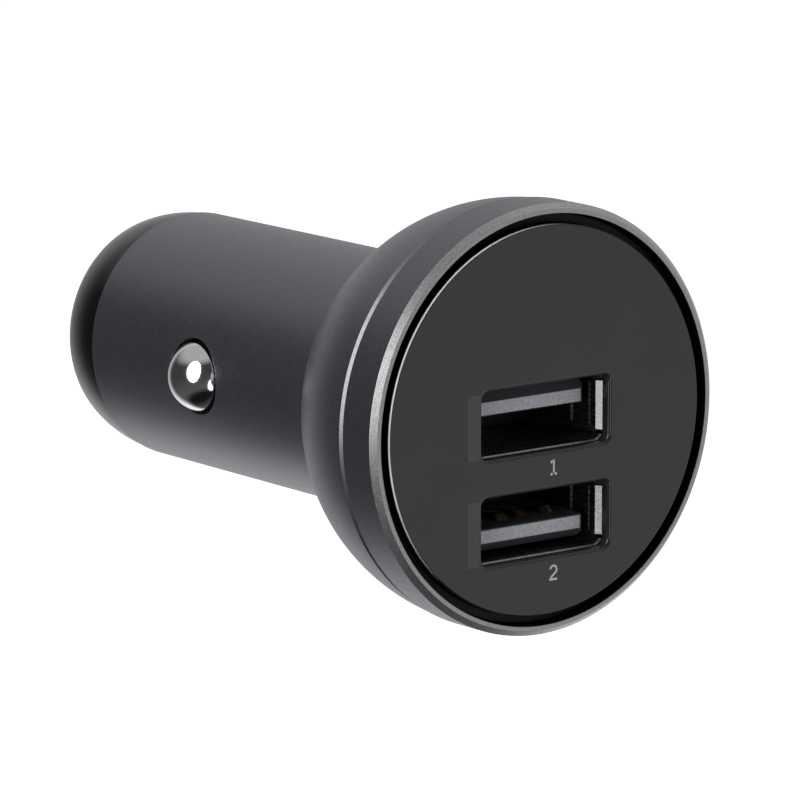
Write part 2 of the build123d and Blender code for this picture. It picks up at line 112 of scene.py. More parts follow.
# Bezel ring and face panel
bezel_length = 3.78
bezel_chamfer = 0.45
lip_width = 0.36
ledge_width = 1.4
spigot_clearance = 0.12
groove_width = 0.8
bezel_rear = bezel_low[1] + bezel_length
lip_inner_r = head_r - bezel_chamfer - lip_width
ledge_r = lip_inner_r - ledge_width
spigot_r = head_inner_r - spigot_clearance
panel_r = lip_inner_r - groove_width
panel_front, panel_back = panel_low[1], panel_high[1]
panel_flange = 0.8
panel_edge = 0.16
panel_flat_r = panel_r - 2 * panel_edge
panel_web = 0.8
opening_half = np.array([6.3, 2.65])
opening_corner = 0.55
opening_lead_in = 0.34
pocket_half = np.array([7.27, 3.08])

# How far behind a wall or a face a point is still taken to lie on it
wall_margin = 0.1 * edge_break
face_margin = 0.05 * opening_lead_in

# Painted highlight on part of the panel's edge, on the side the light comes from: the angle of its middle, the
# cosine where it starts and how far it fades in
edge_highlight_middle = radians(155)
edge_highlight_start = 0.3
edge_highlight_fade = 0.45

# Port tongues
# How far behind the tongue's front face its painted highlight fades out
tongue_lit_front_depth = 0.04

# Nose and tip
nose_radius = 11.85
nose_end_fillet = 4.5
nose_end_wall = 1.6
nose_wall = 1.6
nose_spigot_clearance = 0.1
tip_clearance = 0.15
nose_r = nose_high[0]
nose_spigot_r = barrel_inner_r - nose_spigot_clearance
nose_bore_r = nose_spigot_r - nose_wall
tip_r = 3.4
tip_bore_r = tip_r + tip_clearance
tip_round = 1.6
tip_flange_thickness = 1.0
tip_boss_r = 1.7
tip_boss_length = 1.5

# Side contacts
contact_height = 1.8
contact_dome_set = 0.2
contact_flange_r = (contact_high[2] - contact_low[2]) / 2
contact_flange_thickness = 0.8
contact_boss_r = 1.7
contact_boss_length = 0.9
contact_edge = 0.12

# Coil springs
tip_spring_wire = 0.6
tip_spring_turns = 6
side_spring_wire = 0.4
side_spring_turns = 4

# Printed numerals under the ports
numeral_height = 1.25
numeral_stroke = 0.17
numeral_drop = 1.35
numeral_aside = 0.75
numeral_half_width = 0.26 * numeral_height
flag_fall = 0.8
flag_overlap = 0.3
bowl_start, bowl_end, bowl_points = 165, -38, 24
foot_reach = 1.15
ink_thickness = 0.012

# Faint strips of painted sheen on the clear face, left of each opening
strip_width = 1.15
strip_height = 5.2
strip_thickness = 0.006

# Share of bare metal on the narrower cut edges
rim_bareness = 0.18
lip_bareness = 0.35

# Steps round a turned piece and along its rounded edges and larger arcs
around = 224
edge_steps = 8
bell_steps = 24
crown_steps = 20
tip_steps = 14

# Steps along one turn of a coil and round its wire
coil_steps = 36
wire_steps = 12

# Points in one cell of this size are one point, and the shift keeps round sizes off the cells' edges
join_cell = 1e-4
join_shift = 0.123


# Outlines and grids


def softened(corners, closed=True, steps=edge_steps):
    """Outline through corners of (across, along, round), as points and the normals on its right-hand side.

    Two straight runs meet in an arc that touches both: it starts round * tan(turn / 2) before the corner, and
    its normal turns evenly from that of the first run to that of the second.
    """
    corners = np.asarray(corners, float)
    places = corners[:, :2]
    before, after = np.roll(places, 1, 0), np.roll(places, -1, 0)
    enter = (places - before) / np.linalg.norm(places - before, axis=1)[:, None]
    leave = (after - places) / np.linalg.norm(after - places, axis=1)[:, None]
    turn = np.arctan2(enter[:, 0] * leave[:, 1] - enter[:, 1] * leave[:, 0], (enter * leave).sum(1))
    first = np.arctan2(-enter[:, 0], enter[:, 1])
    bend = corners[:, 2] * np.sign(turn)
    start = places - enter * (corners[:, 2] * np.tan(np.abs(turn) / 2))[:, None]
    centre = start - bend[:, None] * np.stack([np.cos(first), np.sin(first)], 1)
    angle = first[:, None] + turn[:, None] * np.linspace(0, 1, steps + 1)
    normals = np.stack([np.cos(angle), np.sin(angle)], 2)
    points = centre[:, None] + bend[:, None, None] * normals
    if closed:
        points, normals = points.reshape(-1, 2), normals.reshape(-1, 2)
        return np.vstack([points, points[:1]]), np.vstack([normals, normals[:1]])
    points = np.vstack([places[:1], points[1:-1].reshape(-1, 2), places[-1:]])
    normals = np.vstack([normals[1:2, 0], normals[1:-1].reshape(-1, 2), normals[-2:-1, -1]])
    return points, normals


def crowned(radius, reach, edge):
    """Rise of a crown's first corner and drop of its second: an arc that starts square on, then an edge round.

    The edge's centre is radius - edge from the arc's centre and edge short of the line at reach, which gives the
    angle that the arc turns through.
    """
    turn = np.arcsin((reach - edge) / (radius - edge))
    drop = radius - (radius - edge) * cos(turn) - edge * tan((tau / 4 - turn) / 2)
    return radius * tan(turn / 2), drop


def round_axis(radius, station, angle):
    """Point at a radius and an angle round the plug's axis, at a station along it."""
    return np.stack([radius * np.cos(angle), station + 0 * angle, radius * np.sin(angle)], -1)


def sheet_of(places, normals):
    """Faces between neighbours on a grid of points: places, faces and the normal at each corner of each face."""
    index = np.arange(places.shape[0] * places.shape[1]).reshape(places.shape[:2])
    corners = index[:-1, :-1], index[1:, :-1], index[1:, 1:], index[:-1, 1:]
    faces = np.stack([corner.ravel() for corner in corners], 1)
    return places.reshape(-1, 3), faces, normals.reshape(-1, 3)[faces]


def turned(corners, closed=True, steps=edge_steps):
    """Surface of revolution: each point (radius, station) of a softened outline is carried round the axis."""
    points, normals = softened(corners, closed, steps)
    angle = np.linspace(0, tau, around + 1)
    return sheet_of(
        round_axis(points[:, :1], points[:, 1:], angle), round_axis(normals[:, :1], normals[:, 1:], angle)
    )


def coil(start, end, radius, wire, turns):
    """Round wire on a helix about the axis: a circle square to the helix is carried along it, with flat ends.

    The helix turns evenly as it rises, so its direction leans from the ring by one turn's rise over its length.
    """
    angle = np.linspace(0, tau * turns, coil_steps * turns + 1)
    rise = end - start - wire
    outward = round_axis(1.0, 0.0, angle)
    along = round_axis(1.0, 0.0, angle + tau / 4) + [0, rise / (tau * turns * radius), 0]
    along /= np.linalg.norm(along, axis=1, keepdims=True)
    middle = radius * outward + np.outer(start + wire / 2 + rise * angle / angle[-1], [0, 1, 0])
    turn = np.linspace(0, tau, wire_steps + 1)[:, None]
    normals = outward[:, None] * np.cos(turn) + np.cross(along, outward)[:, None] * np.sin(turn)
    skin = middle[:, None] + wire / 2 * normals
    sheets = [sheet_of(skin, normals)]
    for place, facing in ((0, -1), (-1, 1)):
        hub = np.broadcast_to(middle[place], skin[place].shape)
        flat = np.broadcast_to(facing * along[place], (2, *hub.shape))
        sheets.append(sheet_of(np.array([hub, skin[place]]), flat))
    return sheets


def swung(sheet, side):
    """Sheet turned about the plug's axis, swung out to one side about the side contact's own axis."""
    places, faces, normals = sheet
    swing = np.array([[0, -side, 0], [side, 0, 0], [0, 0, 1]])
    return places @ swing + [0, contact_y, contact_z], faces, normals @ swing


def joined(sheets):
    """One set of points, faces and corner normals from sheets, joined at the points that they share.

    Each face is turned to the side that its normals point to, and one with a doubled corner becomes a triangle.
    """
    starts = np.cumsum([0] + [len(places) for places, _, _ in sheets])
    places = np.vstack([places for places, _, _ in sheets])
    cell = np.round(places / join_cell + join_shift)
    _, first, shared = np.unique(cell, axis=0, return_index=True, return_inverse=True)
    places, shared = places[first], shared.reshape(-1)
    faces, normals = [], []
    for (_, corner, normal), start in zip(sheets, starts):
        corner = shared[corner + start]
        spot = places[corner]
        across = np.cross(spot[:, 1] - spot[:, 0], spot[:, 2] - spot[:, 0])
        across += np.cross(spot[:, 2] - spot[:, 0], spot[:, -1] - spot[:, 0])
        inside_out = (across * normal.sum(1)).sum(1) < 0
        corner[inside_out] = corner[inside_out, ::-1]
        normal = normal.copy()
        normal[inside_out] = normal[inside_out, ::-1]
        doubled = corner == np.roll(corner, -1, 1)
        faces.append(corner[~doubled.any(1)])
        normals.append(normal[~doubled.any(1)])
        thin = doubled.sum(1) == 1
        rest = (doubled[thin].argmax(1)[:, None] + np.arange(1, corner.shape[1])) % corner.shape[1]
        if corner.shape[1] == 4:
            faces.append(np.take_along_axis(corner[thin], rest, 1))
            normals.append(np.take_along_axis(normal[thin], rest[..., None], 1))
    return places, faces, normals


def put_in(name, sheets, material, body, node=None):
    """Make a piece of sheets in millimetres, which rides on a body and stands for a solid."""
    places, faces, normals = joined(sheets)
    mesh = bpy.data.meshes.new(name)
    mesh.from_pydata((places * MM).tolist(), [], [face for group in faces for face in group.tolist()])
    mesh.polygons.foreach_set("use_smooth", np.ones(len(mesh.polygons), bool))
    corner_normals = np.vstack([normal.reshape(-1, 3) for normal in normals])
    corner_normals /= np.linalg.norm(corner_normals, axis=1, keepdims=True)
    mesh.normals_split_custom_set(corner_normals.tolist())
    mesh.materials.append(material)
    piece = bpy.data.objects.new(name, mesh)
    bpy.context.scene.collection.objects.link(piece)
    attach(piece, body)
    if node:
        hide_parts(node)
    return piece


def face_middles(piece):
    """Radius, station and angle round the axis of the middle of each face of a piece, in millimetres."""
    middles = np.empty(3 * len(piece.data.polygons))
    piece.data.polygons.foreach_get("center", middles)
    x, y, z = middles.reshape(-1, 3).T / MM
    return np.hypot(x, z), y, np.arctan2(z, x)


def mark(piece, name, share):
    """Give each face of a piece the share, from 0 to 1, of a second finish that its material shows there."""
    attribute = piece.data.attributes.new(name, "FLOAT", "FACE")
    attribute.data.foreach_set("value", np.asarray(share, np.float32))


# Materials
GREY_GREEN = 0.985


def finish(name, **sockets):
    """New material whose shader has these sockets set."""
    material = bpy.data.materials.new(name)
    material.use_nodes = True
    shader = material.node_tree.nodes["Principled BSDF"]
    for socket, value in sockets.items():
        shader.inputs[socket.replace("_", " ")].default_value = value
    return material, material.node_tree, shader


def grey(level, tint=1.0):
    """Grey of a linear level, with a little less green, and its blue share raised by a tint."""
    return (level, level * GREY_GREEN, level * tint, 1.0)


def speckle(tree, scale, detail=2.0, stretch=(1, 1, 1)):
    """Noise over the piece's own coordinates, with a number of features per metre."""
    coordinates = tree.nodes.new("ShaderNodeTexCoord")
    mapping = tree.nodes.new("ShaderNodeMapping")
    mapping.inputs["Scale"].default_value = stretch
    noise = tree.nodes.new("ShaderNodeTexNoise")
    noise.inputs["Scale"].default_value = scale
    noise.inputs["Detail"].default_value = detail
    tree.links.new(coordinates.outputs["Object"], mapping.inputs["Vector"])
    tree.links.new(mapping.outputs["Vector"], noise.inputs["Vector"])
    return noise.outputs["Fac"]


def ramp(tree, factor, low, high, start=0.35, end=0.65):
    """Colour that goes from low to high as a factor goes from start to end."""
    node = tree.nodes.new("ShaderNodeValToRGB")
    node.color_ramp.elements[0].position = start
    node.color_ramp.elements[0].color = low
    node.color_ramp.elements[1].position = end
    node.color_ramp.elements[1].color = high
    tree.links.new(factor, node.inputs["Fac"])
    return node.outputs["Color"]


def spread(tree, factor, low, high, start=0.3, end=0.7, smooth=False):
    """Number that goes from low to high as a factor goes from start to end."""
    node = tree.nodes.new("ShaderNodeMapRange")
    node.interpolation_type = "SMOOTHSTEP" if smooth else "LINEAR"
    node.inputs["From Min"].default_value = start
    node.inputs["From Max"].default_value = end
    node.inputs["To Min"].default_value = low
    node.inputs["To Max"].default_value = high
    tree.links.new(factor, node.inputs["Value"])
    return node.outputs["Result"]


def combined(tree, operation, first, second):
    """Number worked out from two others."""
    node = tree.nodes.new("ShaderNodeMath")
    node.operation = operation
    tree.links.new(first, node.inputs[0])
    tree.links.new(second, node.inputs[1])
    return node.outputs["Value"]


def mixed(tree, share, main, second):
    """Main colour that gives way to a second one by a share."""
    mix = tree.nodes.new("ShaderNodeMix")
    mix.data_type = "RGBA"
    tree.links.new(share, mix.inputs["Factor"])
    tree.links.new(main, mix.inputs["A"])
    tree.links.new(second, mix.inputs["B"])
    return mix.outputs["Result"]


def two_finishes(tree, name, main, second):
    """Main colour that gives way to a second one by a share kept on the faces."""
    share = tree.nodes.new("ShaderNodeAttribute")
    share.attribute_name = name
    return mixed(tree, share.outputs["Fac"], main, second)


def rough_up(tree, shader, factor, depth, strength=1.0):
    """Bump a shader's surface by a factor, to a depth in metres."""
    bump = tree.nodes.new("ShaderNodeBump")
    bump.inputs["Strength"].default_value = strength
    bump.inputs["Distance"].default_value = depth
    tree.links.new(factor, bump.inputs["Height"])
    tree.links.new(bump.outputs["Normal"], shader.inputs["Normal"])


def blasted_metal(name, low, high, roughness, bare=None):
    """Anodised metal with a fine blasted grain; where the share "bare" is 1 the cut metal shows instead."""
    material, tree, shader = finish(name, Metallic=0.92)
    grain = speckle(tree, 9000.0)
    colour = ramp(tree, grain, low, high)
    rough = spread(tree, speckle(tree, 2500.0), roughness - 0.03, roughness + 0.03)
    if bare:
        colour = two_finishes(tree, "bare", colour, ramp(tree, speckle(tree, 14000.0, 3.0), *bare))
    tree.links.new(colour, shader.inputs["Base Color"])
    tree.links.new(rough, shader.inputs["Roughness"])
    rough_up(tree, shader, grain, 0.000004, 0.6)
    return material


def moulded_plastic(name, low, high, roughness, grain_scale=4000.0, depth=0.000004, gloss=0.5):
    """Plastic with a faint mottle in its colour and gloss, and a fine moulded grain."""
    material, tree, shader = finish(name, Specular_IOR_Level=gloss)
    grain = speckle(tree, grain_scale)
    tree.links.new(ramp(tree, grain, low, high), shader.inputs["Base Color"])
    tree.links.new(spread(tree, grain, roughness - 0.06, roughness + 0.06), shader.inputs["Roughness"])
    rough_up(tree, shader, grain, depth, 0.5)
    return material


def tongue_with_painted_lit_front(name, dark, pale, roughness):
    """Dark satin plastic with a painted highlight: its flat front face, on which the light falls, is painted pale,
    and the share of pale falls off just behind it.
    """
    material, tree, shader = finish(name)
    place = tree.nodes.new("ShaderNodeTexCoord")
    axes = tree.nodes.new("ShaderNodeSeparateXYZ")
    tree.links.new(place.outputs["Object"], axes.inputs["Vector"])
    lit_front_end = tongue_front + tongue_lit_front_depth
    painted_lit_share = spread(tree, axes.outputs["Y"], 1.0, 0.0, tongue_front * MM, lit_front_end * MM)
    grain = speckle(tree, 9000.0, 3.0)
    colour = mixed(tree, painted_lit_share, ramp(tree, grain, *dark), ramp(tree, grain, *pale))
    tree.links.new(colour, shader.inputs["Base Color"])
    tree.links.new(spread(tree, grain, roughness - 0.06, roughness + 0.06), shader.inputs["Roughness"])
    rough_up(tree, shader, grain, 0.000005, 0.5)
    return material


def rolled_metal(name, low, high, roughness, stretch=(1, 0.08, 1), scale=6000.0):
    """Plated or rolled metal with faint lines drawn out along one direction."""
    material, tree, shader = finish(name, Metallic=1.0)
    lines = speckle(tree, scale, 3.0, stretch)
    tree.links.new(ramp(tree, lines, low, high), shader.inputs["Base Color"])
    tree.links.new(spread(tree, lines, roughness * 0.8, roughness * 1.25), shader.inputs["Roughness"])
    rough_up(tree, shader, lines, 0.000002, 0.4)
    return material


def smoked_face(name, low, high, ior, clear=None):
    """Polished smoked plastic with a faint ripple in its gloss, and a pale painted highlight where the share
    "clear" is 1.
    """
    material, tree, shader = finish(name, Roughness=0.03, IOR=ior)
    ripple = speckle(tree, 220.0, 1.0)
    colour = ramp(tree, ripple, low, high)
    if clear:
        colour = two_finishes(tree, "clear", colour, ramp(tree, ripple, *clear))
    tree.links.new(colour, shader.inputs["Base Color"])
    rough_up(tree, shader, ripple, 0.000003, 0.1)
    return material


cut_metal = grey(0.3), grey(0.62)
gunmetal = blasted_metal("gunmetal_anodised", grey(0.18, 1.13), grey(0.22, 1.13), 0.38, cut_metal)
bezel_metal = blasted_metal("bezel_anodised", grey(0.16, 1.13), grey(0.2, 1.13), 0.38, cut_metal)
nose_black = moulded_plastic("nose_black_coat", grey(0.002), grey(0.003), 0.18, 9000.0, gloss=0.7)
# Painted shade: near-black finish for the walls of the groove between the bezel and the panel
groove_painted_shade = blasted_metal("groove_painted_shade", grey(0.01), grey(0.015), 0.5)
smoke = (0.0085, 0.008, 0.013, 1), (0.01, 0.0095, 0.0145, 1)
# Pale colours of the painted highlight on the panel's edge
edge_highlight_colours = grey(0.75), grey(0.85)
smoked_panel = smoked_face("smoked_face", *smoke, 1.46, edge_highlight_colours)
opening_black = smoked_face("opening_black", grey(0.018), grey(0.023), 1.46)
# Painted sheen: a glossier copy of the smoked face for the strips beside the openings
painted_sheen_strip = smoked_face("painted_sheen_strip", *smoke, 1.58)
contact_chrome = rolled_metal("contact_chrome", grey(0.76), grey(0.84), 0.09, (1, 1, 1), 900.0)
tip_chrome = rolled_metal("tip_chrome", grey(0.6), grey(0.7), 0.16, (1, 0.1, 1), 4000.0)
port_steel = rolled_metal("port_steel", grey(0.22), grey(0.36), 0.26)
spring_steel = rolled_metal("spring_steel", grey(0.4), grey(0.5), 0.3, (1, 1, 1), 3000.0)
blade_gold = rolled_metal("blade_gold", (0.4, 0.29, 0.13, 1), (0.5, 0.38, 0.19, 1), 0.25)
strap_brass = rolled_metal("strap_brass", (0.5, 0.36, 0.14, 1), (0.6, 0.45, 0.19, 1), 0.3)
can_metal = rolled_metal("can_aluminium", grey(0.5), grey(0.6), 0.3)
copper_wire = rolled_metal("enamelled_copper", (0.42, 0.14, 0.05, 1), (0.55, 0.2, 0.08, 1), 0.3, (1, 1, 9))
tongue_dark = (0.05, 0.052, 0.056, 1), (0.08, 0.083, 0.09, 1)
# Painted highlight: pale colour painted on the lit front face of each tongue
tongue_painted_highlight = (0.3, 0.31, 0.34, 1), (0.56, 0.58, 0.63, 1)
tongue_plastic = tongue_with_painted_lit_front("tongue_plastic", tongue_dark, tongue_painted_highlight, 0.45)
carrier_plastic = moulded_plastic("carrier_plastic", grey(0.012), grey(0.018), 0.5)
board_laminate = moulded_plastic("board_laminate", (0.008, 0.05, 0.02, 1), (0.012, 0.07, 0.03, 1), 0.4)
ferrite = moulded_plastic("ferrite", grey(0.02), grey(0.035), 0.55, 7000.0)
chip_plastic = moulded_plastic("chip_plastic", grey(0.01), grey(0.016), 0.5, 7000.0)
pale_ink = moulded_plastic("pale_ink", grey(0.52, 1.03), grey(0.62, 1.03), 0.5, 9000.0, 0.000001)

solid_finishes = {
    "upper_port_shell": port_steel,
    "lower_port_shell": port_steel,
    "upper_port_tongue": tongue_plastic,
    "lower_port_tongue": tongue_plastic,
    "upper_port_contacts": blade_gold,
    "lower_port_contacts": blade_gold,
    "tip_terminal": strap_brass,
    "ground_strap": strap_brass,
    "contact_carrier": carrier_plastic,
    "board_carrier": carrier_plastic,
    "main_board": board_laminate,
    "inductor_core": ferrite,
    "inductor_winding": copper_wire,
    "input_capacitor": can_metal,
    "converter_chips": chip_plastic,
}
for node, material in solid_finishes.items():
    solids[node].data.materials.clear()
    solids[node].data.materials.append(material)


# Housing: bell and barrel, with a window for each side contact


def barrel_radius_at(station, inner):
    """Radius of the barrel's outer or inner wall at a station: the outer one tapers beyond the straight land."""
    if inner:
        return np.full_like(station, barrel_inner_r)
    beyond = np.clip((station - land_length) / (barrel_end - land_length), 0, 1)
    return barrel_r - barrel_taper * beyond


def barrel_wall_at(station, height, side, inner):
    """Points and normals of the barrel's wall on one side, at stations along it and heights across it."""
    radius = barrel_radius_at(station, inner)
    places = np.stack([side * np.sqrt(radius**2 - height**2), station, height], -1)
    normals = places / radius[..., None]
    normals[..., 1] = 0 if inner else barrel_taper / (barrel_end - land_length)
    return places, -normals if inner else normals


def window_outline():
    """Angles and stations round the square of the wall's grid that frames a window, and the way to each point."""
    column = tau / around * np.arange(-window_columns, window_columns + 1)
    rise = np.linspace(-window_reach, window_reach, 2 * window_columns + 1)
    run = np.ones(2 * window_columns)
    angle = np.r_[column[:-1], column[-1] * run, column[:0:-1], column[0] * run, column[0]]
    along = np.r_[-window_reach * run, rise[:-1], window_reach * run, rise[:0:-1], -window_reach]
    return angle, along, np.arctan2(barrel_r * np.sin(angle) - contact_z, along)


def window_frame(side, inner, rows=10):
    """Wall round a contact window: straight lines from the window's circle out to its square frame."""
    angle, along, heading = window_outline()
    radius = window_r if inner else window_r + window_edge
    frame_height = barrel_radius_at(contact_y + along, inner) * np.sin(angle)
    share = np.linspace(0, 1, rows + 1)[:, None]
    station = contact_y + along * share + radius * np.cos(heading) * (1 - share)
    height = frame_height * share + (contact_z + radius * np.sin(heading)) * (1 - share)
    return sheet_of(*barrel_wall_at(station, height, side, inner))


def window_wall(side, steps=6):
    """Wall of a contact window: its edge rolls in over a quarter circle, then runs straight to the inner wall."""
    _, _, heading = window_outline()
    roll = np.linspace(0, tau / 4, steps + 1)[:, None]
    radius = window_r + window_edge * (1 - np.sin(roll))
    station, height = contact_y + radius * np.cos(heading), contact_z + radius * np.sin(heading)
    places, normals = barrel_wall_at(station, height, side, False)
    places[..., 0] -= side * window_edge * (1 - np.cos(roll))
    inward = np.stack([0 * heading, -np.cos(heading), -np.sin(heading)], -1)
    normals = normals * np.cos(roll)[..., None] + inward * np.sin(roll)[..., None]
    end, _ = barrel_wall_at(station[-1:], height[-1:], side, True)
    return sheet_of(np.vstack([places, end]), np.vstack([normals, inward[None]]))


def band_between_windows(start, inner):
    """The wall from one window's frame to the other's, on the same columns as the rest of the barrel."""
    angle = tau / around * (start + np.arange(around // 2 - 2 * window_columns + 1))
    station = contact_y + np.linspace(-window_reach, window_reach, 2 * window_columns + 1)[:, None]
    radius = barrel_radius_at(station, inner) + 0 * angle
    normals = round_axis(np.ones_like(radius), 0 * radius, angle)
    return sheet_of(round_axis(radius, station, angle), -normals if inner else normals)


def bell_corner(radius, first_turn, last_turn):
    """Where the lines that touch an arc of the bell at its ends cross: radius, station and the arc's radius."""
    middle, reach = (first_turn + last_turn) / 2, radius / cos((last_turn - first_turn) / 2)
    return bell_centre_r + reach * cos(middle), crest_y + reach * sin(middle), radius


rim_y = bell_front + rim_chamfer_length
rim_turn = np.arcsin((rim_y + edge_break - crest_y) / bell_radius)
rim_r = bell_centre_r + bell_radius * cos(rim_turn) + edge_break * tan(rim_turn)
bore_turn = np.arcsin((rim_bore_end - crest_y) / inner_bell_radius)
first_y, last_y = contact_y - window_reach, contact_y + window_reach
first_r, last_r = barrel_radius_at(np.array([first_y, last_y]), False)
head_corners = [
    (barrel_inner_r, first_y, 0),
    (barrel_inner_r, crest_y + inner_bell_radius * sin(inner_bell_turn), 0),
    bell_corner(inner_bell_radius, bore_turn, inner_bell_turn),
    (bell_centre_r + inner_bell_radius * cos(bore_turn), rim_bore_end, 0),
    (head_inner_r, rim_bore_end, 0),
    (head_inner_r, bell_front, edge_break),
    (rim_r - rim_chamfer_width, bell_front, edge_break),
    (rim_r, rim_y, edge_break),
    bell_corner(bell_radius, rim_turn, bell_turn),
    (barrel_r, -shoulder_fillet * tan(bell_turn / 2), shoulder_fillet),
    (barrel_r, land_length, edge_break),
    (first_r, first_y, 0),
]
far_end_corners = [
    (last_r, last_y, 0),
    (barrel_end_r, barrel_end, edge_break),
    (barrel_inner_r, barrel_end, edge_break),
    (barrel_inner_r, last_y, 0),
]
housing_sheets = [turned(head_corners, False, bell_steps), turned(far_end_corners, False)]
housing_sheets += [
    band_between_windows(start, inner)
    for start in (window_columns, around // 2 + window_columns)
    for inner in (False, True)
]
for side in (-1, 1):
    housing_sheets += [window_frame(side, False), window_frame(side, True), window_wall(side)]
housing = put_in("housing", housing_sheets, gunmetal, "plug", "barrel_housing")
radius, station, _ = face_middles(housing)
mark(housing, "bare", rim_bareness * ((radius > rim_r - rim_chamfer_width) & (station < rim_y)))

# Bezel ring: its chamfer is cut to bare metal, its lip in part, and its inner wall is painted near-black as shade
# in the groove
bezel_corners = [
    (lip_inner_r, bezel_low[1], edge_break),
    (head_r - bezel_chamfer, bezel_low[1], edge_break),
    (head_r, bezel_low[1] + bezel_chamfer, edge_break),
    (head_r, bezel_rear, edge_break),
    (spigot_r, bezel_rear, edge_break),
    (spigot_r, bezel_high[1], edge_break),
    (ledge_r, bezel_high[1], edge_break),
    (ledge_r, panel_back, edge_break),
    (lip_inner_r, panel_back, edge_break),
]
bezel = put_in("bezel", [turned(bezel_corners)], bezel_metal, "plug", "bezel_ring")
radius, station, _ = face_middles(bezel)
on_front = (radius > lip_inner_r) & (station < bezel_low[1] + bezel_chamfer)
mark(bezel, "bare", np.where(radius > head_r - bezel_chamfer, 1.0, lip_bareness) * on_front)
bezel.data.materials.append(groove_painted_shade)
bezel.data.polygons.foreach_set("material_index", (radius < lip_inner_r + wall_margin).astype(np.int32))

# Nose cap
nose_start = barrel_end + edge_break
crown_rise, crown_drop = crowned(nose_radius, nose_high[1] - nose_start, nose_end_fillet)
nose_corners = [
    (nose_spigot_r, nose_low[1], edge_break),
    (nose_spigot_r, barrel_end, edge_break),
    (nose_r, barrel_end, edge_break),
    (nose_r, nose_start + crown_rise, nose_radius),
    (nose_r - crown_drop, nose_high[1], nose_end_fillet),
    (tip_bore_r, nose_high[1], edge_break),
    (tip_bore_r, nose_high[1] - nose_end_wall, edge_break),
    (nose_bore_r, nose_high[1] - nose_end_wall, edge_break),
    (nose_bore_r, nose_low[1], edge_break),
]
put_in("nose", [turned(nose_corners, True, crown_steps)], nose_black, "plug", "nose_cap")

# Tip contact
tip_back = tip_low[1] + tip_boss_length
tip_corners = [
    (0, tip_low[1], 0),
    (tip_boss_r, tip_low[1], edge_break),
    (tip_boss_r, tip_back, edge_break),
    (tip_high[0], tip_back, edge_break),
    (tip_high[0], tip_back + tip_flange_thickness, edge_break),
    (tip_r, tip_back + tip_flange_thickness, edge_break),
    (tip_r, tip_high[1], tip_round),
    (0, tip_high[1], 0),
]
put_in("tip", [turned(tip_corners, False, tip_steps)], tip_chrome, "tip", "tip_contact")


# Coil springs


def press_together(spring):
    """Give a spring its own copy of its mesh; it is not squashed here."""
    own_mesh(spring)


tip_coil_low, tip_coil_high = solid_box("tip_spring")
tip_coil_r = tip_coil_high[0] - tip_spring_wire / 2
tip_coil = coil(tip_coil_low[1], tip_coil_high[1], tip_coil_r, tip_spring_wire, tip_spring_turns)
tip_spring = put_in("spring_tip", tip_coil, spring_steel, "plug", "tip_spring")
press_together(tip_spring)

# Side contacts and their springs: turned about the plug's axis, then swung out to each side
dome_drop = contact_height + contact_dome_set
dome_radius = (contact_r**2 + dome_drop**2) / (2 * dome_drop)
dome_rise, dome_edge_drop = crowned(dome_radius, contact_r, contact_edge)
flange_back = contact_low[0] + contact_boss_length
contact_corners = [
    (0, contact_low[0], 0),
    (contact_boss_r, contact_low[0], edge_break),
    (contact_boss_r, flange_back, edge_break),
    (contact_flange_r, flange_back, edge_break),
    (contact_flange_r, flange_back + contact_flange_thickness, edge_break),
    (contact_r, flange_back + contact_flange_thickness, edge_break),
    (contact_r, contact_high[0] - dome_edge_drop, contact_edge),
    (dome_rise, contact_high[0], dome_radius),
    (0, contact_high[0], 0),
]
side_coil_low, side_coil_high = solid_box("side_spring_right")
side_coil_r = (side_coil_high[2] - side_coil_low[2] - side_spring_wire) / 2
side_coil = coil(side_coil_low[0], side_coil_high[0], side_coil_r, side_spring_wire, side_spring_turns)
for name, side in (("left", -1), ("right", 1)):
    button = swung(turned(contact_corners, False, crown_steps), side)
    node = f"side_contact_{name}"
    put_in(f"contact_{name}", [button], contact_chrome, f"{name}_contact", node)
    sheets = [swung(sheet, side) for sheet in side_coil]
    spring = put_in(f"spring_{name}", sheets, spring_steel, "plug", f"side_spring_{name}")
    press_together(spring)


# Face panel: round-edged disc on a thin flange, with two openings and a pocket behind each


def opening_ring(middle, half, corner, station):
    """Round-cornered outline of a half width and height about a port, at a station: points and inward normals."""
    corners = np.array([(-1, -1), (1, -1), (1, 1), (-1, 1)]) * half
    points, normals = softened(np.c_[corners, np.full(4, corner)])
    places = np.stack([points[:, 0], np.full(len(points), station), points[:, 1] + middle], -1)
    return places, np.stack([-normals[:, 0], 0 * normals[:, 0], -normals[:, 1]], -1)


def lead_in_ring(middle, roll):
    """Ring of an opening's lead-in, which rolls over a quarter circle from the face to the straight wall."""
    growth, depth = opening_lead_in * (1 - sin(roll)), opening_lead_in * (1 - cos(roll))
    return opening_ring(middle, opening_half + growth, opening_corner + growth, panel_front + depth)


def opening_wall(middle):
    """Wall of an opening: the lead-in from the face, then a straight run and a wider pocket behind."""
    roll = np.linspace(0, tau / 4, edge_steps + 1)
    lead_in = [lead_in_ring(middle, a) for a in roll]
    straight, inward = opening_ring(middle, opening_half, opening_corner, panel_front + panel_web)
    step, _ = opening_ring(middle, pocket_half, opening_corner, panel_front + panel_web)
    pocket, pocket_inward = opening_ring(middle, pocket_half, opening_corner, panel_back)
    outward = np.array([0, -1, 0])
    places = np.array([ring for ring, _ in lead_in] + [straight])
    normals = np.array([n * sin(a) + outward * cos(a) for (_, n), a in zip(lead_in, roll)] + [inward])
    behind = np.broadcast_to(-outward, (2, *step.shape))
    return [
        sheet_of(places, normals),
        sheet_of(np.array([straight, step]), behind),
        sheet_of(np.array([step, pocket]), np.array([pocket_inward, pocket_inward])),
    ]


